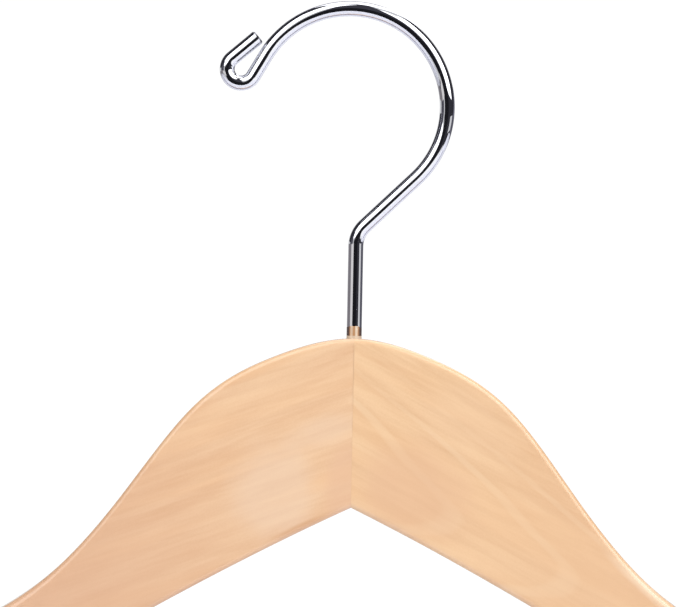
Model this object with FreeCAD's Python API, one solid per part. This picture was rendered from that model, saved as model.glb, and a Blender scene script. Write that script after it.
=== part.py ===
"""A flat wooden clothes hanger with a swivelling wire hook.

Two wooden arms are dowelled and glued together on an upright seam. A bent wire hook runs down a
bore on that seam, through a metal sleeve, and its peened end turns below a washer in a closed pocket.

Millimetres, +Z up, +X along the hanger, the front face towards -Y. The origin is the rod seat, the
point inside the crown of the hook that hangs on a rail, straight above the stem.
"""

import FreeCAD, Part
import math
import os

# ---- driving dimensions ---------------------------------------------------------------------

# wire hook
WIRE_DIAMETER = 3.8
HOOK_RADIUS = 24.5  # centre line of the large round
HOOK_OFFSET = 2.3  # the round's centre stands this far left of the stem
CROWN_ABOVE_WOOD = 82.4  # centre line of the wire's top above the wood
NECK_ANGLE = 43.9  # slope of the straight neck, degrees above level
STEM_BEND_RADIUS = 7.0
CURL_RADIUS = 3.5  # centre line of the small round at the hook's tip
CURL_CENTRE = (-27.2, 8.9)  # from the centre of the large round
TAIL_ANGLE = 40.6  # slope of the straight tail, degrees above level
TAIL_LENGTH = 8.5
TAIL_CHAMFER = 0.4

# wooden arms
THICKNESS = 12.0
SEAM_HEIGHT = 42.1
ARM_DEPTH = 18.6  # across the arm near its end
END_ANGLE = 24.2  # slope of the arm at its end, degrees below level
END_CENTRE = (213.2, -141.5)  # centre of the rounded end, from the top of the seam
TOP_STATIONS = ((20.0, -4.9), (40.0, -17.9), (58.0, -41.2), (74.0, -59.4), (96.0, -74.0), (140.0, -97.4))
BOTTOM_STATIONS = ((45.0, -65.7), (100.0, -97.3), (155.0, -125.3))
SEAM_BOTTOM_ANGLE = 25.5  # slope of the lower edge where it leaves the seam
HUMP_ROUNDING = 1.4
SHOULDER_ROUNDING = 3.2
LOWER_ROUNDING = 1.5
ROUNDING_GROWS = (58.0, 96.0)  # the upper rounding grows between these distances from the seam

# strap notch on each shoulder
NOTCH_AT = 182.0
NOTCH_WIDTH = 7.0
NOTCH_DEPTH = 9.0

# bore, sleeve and washer on the seam
ENTRY_RADIUS = 2.2
ENTRY_DEPTH = 4.0
SLEEVE_RADIUS = 3.0
SLEEVE_LENGTH = 14.0
RUNNING_CLEARANCE = 0.05
WASHER_RADIUS = 3.3
WASHER_THICKNESS = 0.8
HEAD_RADIUS = 2.9
HEAD_THICKNESS = 1.6
HEAD_ROUNDING = 0.6
END_PLAY = 0.1
POCKET_RADIUS = 3.7
POCKET_LENGTH = 5.6

# dowels across the seam
DOWEL_RADIUS = 2.5
DOWEL_HALF_LENGTH = 15.0
DOWEL_CHAMFER = 0.6
DOWEL_END_RELIEF = 1.0
DOWEL_DROPS = {"upper_dowel": 29.6, "lower_dowel": 37.4}  # axis below the top of the seam

# how closely two places have to agree, and how often the spline's slopes are evened out
TOLERANCE = 1e-6
SPLINE_PASSES = 60
CUT_OVERSHOOT = 1.0

# ---- derived places -------------------------------------------------------------------------

WIRE_RADIUS = WIRE_DIAMETER / 2
ROUND_CENTRE_Z = -math.sqrt((HOOK_RADIUS - WIRE_RADIUS) ** 2 - HOOK_OFFSET**2)
WOOD_TOP = ROUND_CENTRE_Z + HOOK_RADIUS - CROWN_ABOVE_WOOD
SLEEVE_TOP = WOOD_TOP - ENTRY_DEPTH
SLEEVE_BOTTOM = SLEEVE_TOP - SLEEVE_LENGTH
WASHER_BOTTOM = SLEEVE_BOTTOM - WASHER_THICKNESS
HEAD_TOP = WASHER_BOTTOM - END_PLAY


def flat(x, z, y=0.0):
    """A point of the upright X-Z plane."""
    return FreeCAD.Vector(x, y, z)


def polar(centre, radius, angle):
    """The point at an angle, in degrees, on a circle of the X-Z plane."""
    turn = math.radians(angle)
    return centre + flat(radius * math.cos(turn), radius * math.sin(turn))


def heading(angle):
    """The unit vector at an angle in degrees above +X."""
    return polar(flat(0, 0), 1.0, angle)


def upright_cylinder(radius, bottom, top, x=0.0):
    """A round bar along Z between two heights."""
    return Part.makeCylinder(radius, top - bottom, flat(x, bottom))


# ---- hook -----------------------------------------------------------------------------------


def hook_path():
    """The wire's centre line as tangent lines and arcs, from below the wood to the tip."""
    centre = flat(-HOOK_OFFSET, ROUND_CENTRE_Z)
    neck_end = polar(centre, HOOK_RADIUS, NECK_ANGLE - 90)
    neck = heading(NECK_ANGLE)
    corner = neck_end - neck * (neck_end.x / neck.x)
    bend_length = STEM_BEND_RADIUS * math.tan(math.radians(90 - NECK_ANGLE) / 2)
    bend_start = corner - flat(0, bend_length)
    bend_end = corner + neck * bend_length
    bend_centre = bend_start + flat(STEM_BEND_RADIUS, 0)
    bend_middle = polar(bend_centre, STEM_BEND_RADIUS, (180 + 90 + NECK_ANGLE) / 2)

    curl_centre = centre + flat(*CURL_CENTRE)
    spacing = (curl_centre - centre).Length
    bearing = math.degrees(math.atan2(CURL_CENTRE[1], CURL_CENTRE[0]))
    lean = math.degrees(math.acos((HOOK_RADIUS + CURL_RADIUS) / spacing))
    leave = bearing - lean
    round_end = polar(centre, HOOK_RADIUS, leave)
    round_middle = polar(centre, HOOK_RADIUS, (NECK_ANGLE - 90 + leave) / 2)
    curl_start = polar(curl_centre, CURL_RADIUS, leave - 180)
    curl_finish = 90 + TAIL_ANGLE
    curl_end = polar(curl_centre, CURL_RADIUS, curl_finish)
    curl_middle = polar(curl_centre, CURL_RADIUS, (leave - 180 + curl_finish - 360) / 2)
    tail_end = curl_end + heading(TAIL_ANGLE) * TAIL_LENGTH

    return [
        Part.makeLine(flat(0, HEAD_TOP), bend_start),
        Part.Arc(bend_start, bend_middle, bend_end).toShape(),
        Part.makeLine(bend_end, neck_end),
        Part.Arc(neck_end, round_middle, round_end).toShape(),
        Part.makeLine(round_end, curl_start),
        Part.Arc(curl_start, curl_middle, curl_end).toShape(),
        Part.makeLine(curl_end, tail_end),
    ]


def swivel_hook():
    """The bent wire with its peened lower end, as one solid."""
    path = Part.Wire(hook_path())
    section = Part.Wire([Part.makeCircle(WIRE_RADIUS, flat(0, HEAD_TOP), flat(0, 1))])
    wire = path.makePipeShell([section], True, False)
    tail_edge = min(wire.Edges, key=lambda edge: (edge.CenterOfMass - path.Vertexes[-1].Point).Length)
    wire = wire.makeChamfer(TAIL_CHAMFER, [tail_edge])
    head = upright_cylinder(HEAD_RADIUS, HEAD_TOP - HEAD_THICKNESS, HEAD_TOP)
    head = head.makeFillet(HEAD_ROUNDING, [edge for edge in head.Edges if edge.CenterOfMass.z < HEAD_TOP - 1])
    return wire.fuse(head).removeSplitter()


def hook_sleeve():
    """The plain metal tube in which the shank turns."""
    outer = upright_cylinder(SLEEVE_RADIUS, SLEEVE_BOTTOM, SLEEVE_TOP)
    return outer.cut(upright_cylinder(WIRE_RADIUS + RUNNING_CLEARANCE, SLEEVE_BOTTOM, SLEEVE_TOP))


def retaining_washer():
    """The washer between the sleeve and the peened end."""
    outer = upright_cylinder(WASHER_RADIUS, WASHER_BOTTOM, SLEEVE_BOTTOM)
    return outer.cut(upright_cylinder(WIRE_RADIUS + RUNNING_CLEARANCE, WASHER_BOTTOM, SLEEVE_BOTTOM))


# ---- arms -----------------------------------------------------------------------------------


def spline_edges(points, first_slope, last_slope):
    """Cubic pieces through points of growing x, smooth in slope and curvature (a clamped spline)."""
    steps = [b[0] - a[0] for a, b in zip(points, points[1:])]
    rises = [(b[1] - a[1]) / step for a, b, step in zip(points, points[1:], steps)]
    slopes = [first_slope] + [0.0] * (len(points) - 2) + [last_slope]
    for _ in range(SPLINE_PASSES):
        for i in range(1, len(points) - 1):
            before, after = steps[i - 1], steps[i]
            pull = 3 * (after * rises[i - 1] + before * rises[i])
            slopes[i] = (pull - after * slopes[i - 1] - before * slopes[i + 1]) / (2 * (before + after))
    edges = []
    for i, step in enumerate(steps):
        (x0, z0), (x1, z1) = points[i], points[i + 1]
        curve = Part.BezierCurve()
        third = step / 3
        inner = [flat(x0 + third, z0 + slopes[i] * third), flat(x1 - third, z1 - slopes[i + 1] * third)]
        curve.setPoles([flat(x0, z0)] + inner + [flat(x1, z1)])
        edges.append(curve.toShape())
    return edges


def arm_outline():
    """The right arm's closed outline, with the top of its seam at the plane's origin."""
    end_slope = -math.tan(math.radians(END_ANGLE))
    centre = flat(*END_CENTRE)
    across = polar(flat(0, 0), ARM_DEPTH / 2, 90 - END_ANGLE)
    upper, lower = centre + across, centre - across
    tip = polar(centre, ARM_DEPTH / 2, -END_ANGLE)
    top = [(0.0, 0.0)] + list(TOP_STATIONS) + [(upper.x, upper.z)]
    bottom = [(0.0, -SEAM_HEIGHT)] + list(BOTTOM_STATIONS) + [(lower.x, lower.z)]
    bottom_slope = -math.tan(math.radians(SEAM_BOTTOM_ANGLE))
    edges = spline_edges(top, 0.0, end_slope)
    edges += [Part.Arc(upper, tip, lower).toShape()]
    edges += spline_edges(bottom, bottom_slope, end_slope)
    edges += [Part.makeLine(flat(0, -SEAM_HEIGHT), flat(0, 0))]
    return Part.Wire(Part.__sortEdges__(edges))


def top_height(outline, x):
    """The height of the outline's upper edge at x."""
    probe = Part.makeLine(flat(x, -SEAM_HEIGHT * 5), flat(x, SEAM_HEIGHT))
    return max(vertex.Z for vertex in probe.common(Part.Face(outline)).Vertexes)


def rounding_at(x, on_top):
    """The edge rounding at a distance from the seam."""
    if not on_top:
        return LOWER_ROUNDING
    start, finish = ROUNDING_GROWS
    share = min(max((x - start) / (finish - start), 0.0), 1.0)
    return HUMP_ROUNDING + share * (SHOULDER_ROUNDING - HUMP_ROUNDING)


def rounded(blank):
    """The blank with its long front and back edges rounded, more on the shoulders."""
    document = FreeCAD.newDocument("rounding")
    base = document.addObject("Part::Feature", "blank")
    base.Shape = blank
    fillet = document.addObject("Part::Fillet", "rounded")
    fillet.Base = base
    choices = []
    middle_line = math.tan(math.radians(END_ANGLE))
    for index, edge in enumerate(blank.Edges, start=1):
        ends = [edge.valueAt(edge.FirstParameter), edge.valueAt(edge.LastParameter)]
        on_face = all(abs(abs(point.y) - THICKNESS / 2) < TOLERANCE for point in ends)
        on_seam = all(point.x < TOLERANCE for point in ends)
        if not on_face or on_seam:
            continue
        radii = []
        for point in ends:
            above = point.z > END_CENTRE[1] - middle_line * (point.x - END_CENTRE[0])
            radii.append(rounding_at(point.x, above))
        choices.append((index, radii[0], radii[1]))
    fillet.Edges = choices
    document.recompute()
    shape = fillet.Shape.copy()
    FreeCAD.closeDocument(document.Name)
    return shape


def notch_tool(top):
    """The strap notch: an upright slot with a round bottom."""
    half = NOTCH_WIDTH / 2
    bottom = top - NOTCH_DEPTH + half
    corner = flat(NOTCH_AT - half, bottom, -THICKNESS)
    slot = Part.makeBox(NOTCH_WIDTH, THICKNESS * 2, NOTCH_DEPTH * 2, corner)
    across = FreeCAD.Vector(0, 1, 0)
    return slot.fuse(Part.makeCylinder(half, THICKNESS * 2, flat(NOTCH_AT, bottom, -THICKNESS), across))


def arm_blank():
    """The right arm before the seam's bores, moved down to its place under the hook."""
    outline = arm_outline()
    notch = notch_tool(top_height(outline, NOTCH_AT))
    face = Part.Face(outline)
    face.translate(flat(0, 0, -THICKNESS / 2))
    blank = rounded(face.extrude(flat(0, 0, THICKNESS)))
    blank = blank.cut(notch)
    blank.translate(flat(0, WOOD_TOP))
    return blank


def seam_bores():
    """Everything that is cut out of the two arms at the seam."""
    cuts = upright_cylinder(ENTRY_RADIUS, SLEEVE_TOP, WOOD_TOP + CUT_OVERSHOOT)
    cuts = cuts.fuse(upright_cylinder(SLEEVE_RADIUS, SLEEVE_BOTTOM, SLEEVE_TOP))
    cuts = cuts.fuse(upright_cylinder(POCKET_RADIUS, SLEEVE_BOTTOM - POCKET_LENGTH, SLEEVE_BOTTOM))
    reach = DOWEL_HALF_LENGTH + DOWEL_END_RELIEF
    along = FreeCAD.Vector(1, 0, 0)
    for drop in DOWEL_DROPS.values():
        cuts = cuts.fuse(Part.makeCylinder(DOWEL_RADIUS, 2 * reach, flat(-reach, WOOD_TOP - drop), along))
    return cuts


def dowel(drop):
    """A wooden pin with chamfered ends, across the seam."""
    start = flat(-DOWEL_HALF_LENGTH, WOOD_TOP - drop)
    pin = Part.makeCylinder(DOWEL_RADIUS, 2 * DOWEL_HALF_LENGTH, start, FreeCAD.Vector(1, 0, 0))
    rims = [edge for edge in pin.Edges if abs(abs(edge.CenterOfMass.x) - DOWEL_HALF_LENGTH) < TOLERANCE]
    return pin.makeChamfer(DOWEL_CHAMFER, rims)


# ---- the hanger -----------------------------------------------------------------------------


def build():
    """Every piece by name."""
    blank = arm_blank()
    bores = seam_bores()
    pieces = {
        "right_arm": blank.cut(bores),
        "left_arm": blank.mirror(flat(0, 0), FreeCAD.Vector(1, 0, 0)).cut(bores),
        "swivel_hook": swivel_hook(),
        "hook_sleeve": hook_sleeve(),
        "retaining_washer": retaining_washer(),
    }
    for name, drop in DOWEL_DROPS.items():
        pieces[name] = dowel(drop)
    return pieces


os.makedirs("parts", exist_ok=True)
for name, shape in build().items():
    shape.exportStep(f"parts/{name}.step")
    box = shape.BoundBox
    print(
        f"{name}: {len(shape.Solids)} solid, valid {shape.isValid()}, {shape.Volume:.1f} mm3, "
        f"x {box.XMin:.2f}..{box.XMax:.2f}, z {box.ZMin:.2f}..{box.ZMax:.2f}"
    )
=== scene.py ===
"""The looks of a flat wooden clothes hanger with a swivelling chrome hook.

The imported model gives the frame. The two arms and the hook are made again here as smooth surfaces
worked out with numpy, and every finish is a node material. Metres, +Z up, the front towards -Y.
"""

import logging
import math
from dataclasses import dataclass, field, replace
from enum import Enum
from functools import cached_property

import bmesh
import bpy
import numpy as np
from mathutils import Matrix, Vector


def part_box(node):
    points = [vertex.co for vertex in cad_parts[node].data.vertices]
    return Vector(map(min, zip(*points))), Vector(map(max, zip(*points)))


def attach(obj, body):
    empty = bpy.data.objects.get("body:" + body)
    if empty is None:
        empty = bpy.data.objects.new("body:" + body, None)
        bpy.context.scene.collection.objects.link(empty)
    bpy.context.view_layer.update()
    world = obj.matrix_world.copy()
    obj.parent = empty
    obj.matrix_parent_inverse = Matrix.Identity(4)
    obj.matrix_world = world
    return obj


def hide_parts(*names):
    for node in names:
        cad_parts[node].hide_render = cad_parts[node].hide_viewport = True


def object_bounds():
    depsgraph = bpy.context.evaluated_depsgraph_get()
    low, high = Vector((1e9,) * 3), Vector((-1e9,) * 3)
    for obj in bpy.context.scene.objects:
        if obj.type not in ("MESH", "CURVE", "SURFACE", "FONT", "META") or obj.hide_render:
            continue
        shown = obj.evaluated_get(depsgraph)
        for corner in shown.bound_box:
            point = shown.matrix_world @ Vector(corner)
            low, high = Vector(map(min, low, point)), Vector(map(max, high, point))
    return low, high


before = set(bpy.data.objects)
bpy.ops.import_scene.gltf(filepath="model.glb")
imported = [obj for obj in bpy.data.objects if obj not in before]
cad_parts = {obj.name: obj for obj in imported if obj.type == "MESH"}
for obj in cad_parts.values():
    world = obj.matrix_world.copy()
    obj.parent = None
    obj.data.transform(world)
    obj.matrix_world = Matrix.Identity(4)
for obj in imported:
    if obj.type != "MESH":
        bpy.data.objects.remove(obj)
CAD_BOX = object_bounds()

LOG = logging.getLogger("hanger")
MM = 0.001


# ---------------------------------------------------------------------------------------------
# Mesh helpers
# ---------------------------------------------------------------------------------------------


def in_scene(name: str, data: bpy.types.ID) -> bpy.types.Object:
    """Puts a mesh, light or camera into the scene.

    Args:
        name: The object's name.
        data: What the object holds.

    Returns:
        The new object, at the origin.
    """
    made = bpy.data.objects.new(name, data)
    bpy.context.scene.collection.objects.link(made)
    return made


def make_object(name: str, points: np.ndarray, faces: list, sharp_degrees: float = 35.0) -> bpy.types.Object:
    """Puts points and faces into a new smooth-shaded mesh object at the origin.

    Args:
        name: The object's name.
        points: One row of x, y and z per vertex, in millimetres.
        faces: Vertex numbers of each face.
        sharp_degrees: Edges that turn by more than this stay sharp.

    Returns:
        The linked object, with double points merged and faces turned outwards.
    """
    mesh = bpy.data.meshes.new(name)
    mesh.from_pydata((points * MM).tolist(), [], faces)
    clean_mesh(mesh)
    mesh.polygons.foreach_set("use_smooth", np.ones(len(mesh.polygons), bool))
    mesh.set_sharp_from_angle(angle=math.radians(sharp_degrees))
    return in_scene(name, mesh)


def clean_mesh(mesh: bpy.types.Mesh, merge_distance: float = 2e-6) -> None:
    """Merges points that lie together, drops flat faces and turns the rest outwards.

    Args:
        mesh: The mesh to clean in place.
        merge_distance: Points closer than this become one, in metres.
    """
    work = bmesh.new()
    work.from_mesh(mesh)
    bmesh.ops.remove_doubles(work, verts=work.verts, dist=merge_distance)
    bmesh.ops.dissolve_degenerate(work, edges=work.edges, dist=merge_distance / 2)
    bmesh.ops.recalc_face_normals(work, faces=work.faces)
    work.to_mesh(mesh)
    work.free()


def rectangle(name: str, across: tuple, along: tuple, height: float = 0.0) -> bpy.types.Mesh:
    """A level rectangle as one face.

    Args:
        name: The mesh's name.
        across: Its two ends along X, in metres.
        along: Its two ends along Y.
        height: Its Z.

    Returns:
        The mesh.
    """
    (left, right), (near, far) = across, along
    corners = [(left, near), (right, near), (right, far), (left, far)]
    mesh = bpy.data.meshes.new(name)
    mesh.from_pydata([(x, y, height) for x, y in corners], [], [(0, 1, 2, 3)])
    return mesh


def grid_faces(rows: int, columns: int, closed: bool) -> list:
    """Quads of a grid of points that is stored row by row.

    Args:
        rows: Number of rows.
        columns: Number of points in a row.
        closed: True if each row is a loop.

    Returns:
        Four vertex numbers for each quad.
    """
    row = np.arange(rows - 1)[:, None] * columns
    column = np.arange(columns if closed else columns - 1)[None, :]
    after = (column + 1) % columns
    quads = [row + column, row + after, row + columns + after, row + columns + column]
    return np.stack(quads, -1).reshape(-1, 4).tolist()


def ease(value: np.ndarray, start: float, finish: float) -> np.ndarray:
    """A smooth step: 0 before start, 1 after finish, 3t^2 - 2t^3 between."""
    share = np.clip((value - start) / (finish - start), 0.0, 1.0)
    return share * share * (3 - 2 * share)


def unit(vectors: np.ndarray) -> np.ndarray:
    """Rows of x and z, each brought to length 1."""
    return vectors / np.maximum(np.hypot(*vectors.T), 1e-9)[:, None]


def headings(path: np.ndarray) -> np.ndarray:
    """The direction of a path at each of its points.

    The mean of the unit steps before and after the point, brought to length 1.

    Args:
        path: Points of x and z in order.

    Returns:
        One unit vector of x and z a point.
    """
    steps = unit(np.diff(path, axis=0))
    return unit(np.vstack([steps[:1], steps[:-1] + steps[1:], steps[-1:]]))


# ---------------------------------------------------------------------------------------------
# Node helper and finishes
# ---------------------------------------------------------------------------------------------


class Shader:
    """A short way to write a node material on Object coordinates."""

    def __init__(self, name: str) -> None:
        """Starts a material with a Principled shader and its output.

        Args:
            name: The material's name.
        """
        self.material = bpy.data.materials.new(name)
        self.material.use_nodes = True
        self.tree = self.material.node_tree
        self.tree.nodes.clear()
        self.surface = self.node("ShaderNodeBsdfPrincipled")
        output = self.node("ShaderNodeOutputMaterial")
        self.tree.links.new(self.surface.outputs[0], output.inputs["Surface"])

    @cached_property
    def place(self) -> bpy.types.NodeSocket:
        """Object coordinates."""
        return self.node("ShaderNodeTexCoord").outputs["Object"]

    def node(self, kind: str, inputs: dict | None = None, **settings: object) -> bpy.types.Node:
        """Adds a node.

        Args:
            kind: Blender's name for the node type.
            inputs: Socket name or number to a value or to another node's output.
            **settings: Properties of the node itself.

        Returns:
            The new node.
        """
        made = self.tree.nodes.new(kind)
        for key, value in settings.items():
            setattr(made, key, value)
        for key, value in (inputs or {}).items():
            self.put(made.inputs[key], value)
        return made

    def put(self, socket: bpy.types.NodeSocket, value: object) -> None:
        """Fills a socket.

        Args:
            socket: The input to fill.
            value: Another node's output, which is linked, or a plain value, which is set.
        """
        if isinstance(value, bpy.types.NodeSocket):
            self.tree.links.new(value, socket)
        else:
            socket.default_value = value

    def dress(self, inputs: dict) -> bpy.types.Material:
        """Fills inputs of the Principled shader.

        Args:
            inputs: Socket name to a value or to another node's output.

        Returns:
            The material.
        """
        for key, value in inputs.items():
            self.put(self.surface.inputs[key], value)
        return self.material

    def math(self, operation: str, a: object, b: object = 0.0, c: object = 0.0) -> bpy.types.NodeSocket:
        """The output of one Math node."""
        return self.node("ShaderNodeMath", {0: a, 1: b, 2: c}, operation=operation).outputs[0]

    def vector(
        self, operation: str, a: object, b: tuple = (0, 0, 0), output: str = "Vector"
    ) -> bpy.types.NodeSocket:
        """One output of one Vector Math node."""
        return self.node("ShaderNodeVectorMath", {0: a, 1: b}, operation=operation).outputs[output]

    def apart(self, axis: str, middle: float = 0.0) -> bpy.types.NodeSocket:
        """How far a point lies from a plane square to X, Y or Z, in metres."""
        return self.math("ABSOLUTE", self.math("SUBTRACT", self.axis(self.place, axis), middle))

    def axis(self, vector: object, axis: str) -> bpy.types.NodeSocket:
        """The X, Y or Z of a vector."""
        return self.node("ShaderNodeSeparateXYZ", {0: vector}).outputs[axis]

    def stretched(self, vector: object, share: float) -> bpy.types.NodeSocket:
        """A vector whose X is scaled, so that noise on it runs long."""
        return self.node("ShaderNodeMapping", {"Vector": vector, "Scale": (share, 1.0, 1.0)}).outputs[0]

    def turned(self, vector: object, degrees: float) -> bpy.types.NodeSocket:
        """A vector turned about Y."""
        turn = (0.0, math.radians(degrees), 0.0)
        return self.node("ShaderNodeMapping", {"Vector": vector, "Rotation": turn}).outputs[0]

    def band(
        self, value: object, low: float, high: float, to_low: float = 0.0, to_high: float = 1.0
    ) -> bpy.types.NodeSocket:
        """A smooth map of a value from one range to another."""
        inputs = {"Value": value, "From Min": low, "From Max": high, "To Min": to_low, "To Max": to_high}
        return self.node("ShaderNodeMapRange", inputs, interpolation_type="SMOOTHSTEP").outputs[0]

    def fade(
        self, value: object, edges: tuple, to_low: float = 0.0, to_high: float = 1.0
    ) -> bpy.types.NodeSocket:
        """A smooth map of a distance between two edges, which are in millimetres."""
        return self.band(value, edges[0] * MM, edges[1] * MM, to_low, to_high)

    def noise(
        self, vector: object, scale: float, detail: float = 2.0, distortion: float = 0.0
    ) -> bpy.types.NodeSocket:
        """The grey output of one Noise node."""
        inputs = {"Vector": vector, "Scale": scale, "Detail": detail, "Distortion": distortion}
        return self.node("ShaderNodeTexNoise", inputs).outputs["Fac"]

    def mix(self, share: object, first: object, second: object) -> bpy.types.NodeSocket:
        """Mixes two colours.

        Args:
            share: The second colour's share, from 0 to 1.
            first: One colour.
            second: The other colour.

        Returns:
            The mixed colour.
        """
        made = self.node("ShaderNodeMix", data_type="RGBA")
        self.put(made.inputs["Factor"], share)
        self.put(made.inputs["A"], first)
        self.put(made.inputs["B"], second)
        return made.outputs["Result"]

    def bump(self, height: object, strength: float, depth: float) -> bpy.types.NodeSocket:
        """The surface's direction, tilted by a height of up to a depth in millimetres."""
        inputs = {"Strength": strength, "Distance": depth * MM, "Height": height}
        return self.node("ShaderNodeBump", inputs).outputs[0]


def linear(red: int, green: int, blue: int) -> tuple[float, float, float, float]:
    """Turns a screen colour into the linear colour that nodes use.

    Args:
        red: Red, from 0 to 255.
        green: Green.
        blue: Blue.

    Returns:
        Linear red, green and blue, and an alpha of 1.
    """
    shares = np.array([red, green, blue]) / 255
    low, high = shares / 12.92, ((shares + 0.055) / 1.055) ** 2.4
    return (*np.where(shares <= 0.04045, low, high).tolist(), 1.0)


@dataclass(frozen=True)
class Grain:
    """One layer of noise in a wood's tone: how fine, how sharp and how strong it is."""

    scale: float
    detail: float
    low: float
    high: float
    share: float
    distortion: float = 0.0

    def on(self, shader: Shader, vector: object) -> bpy.types.NodeSocket:
        """The noise on a vector, 0 up to the low value and 1 from the high value."""
        noise = shader.noise(vector, self.scale, self.detail, self.distortion)
        return shader.band(noise, self.low, self.high)


@dataclass(frozen=True)
class Patch:
    """A soft oval of painted tone in the wood. On a face a pale one is painted sheen and a dark one painted
    shade, where the fibres lean to or from the light. Along an edge a thin dark one is painted shade and a
    thin pale one painted highlight on the rounding.

    Sizes are in millimetres and the tilt in degrees about Y. The tone is full inside the core's
    share of the oval, and noise moves the edge by the wobble's share.
    """

    x: float
    z: float
    half_width: float
    half_height: float
    colour: tuple
    share: float
    tilt: float
    core: float
    wobble: float = 0.9
    fades_at: float = 1.2
    wobble_scale: float = 70.0

    def over(self, shader: Shader, colour: object) -> bpy.types.NodeSocket:
        """Mixes the oval into a colour.

        The length of the turned offset from the middle, over the half width and half height, is 1
        on the oval's outline.

        Args:
            shader: The material under construction.
            colour: The colour so far.

        Returns:
            The colour with the oval in it.
        """
        scale = (1 / (self.half_width * MM), 0.0, 1 / (self.half_height * MM))
        moved = shader.vector("SUBTRACT", shader.place, (self.x * MM, 0.0, self.z * MM))
        scaled = shader.vector("MULTIPLY", shader.turned(moved, self.tilt), scale)
        length = shader.vector("LENGTH", scaled, output="Value")
        noise = shader.noise(shader.place, self.wobble_scale, 3.0)
        wobble = shader.math("MULTIPLY_ADD", noise, self.wobble, -self.wobble / 2)
        inside = shader.band(shader.math("ADD", length, wobble), self.core, self.fades_at, self.share, 0.0)
        return shader.mix(inside, colour, self.colour)


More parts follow.
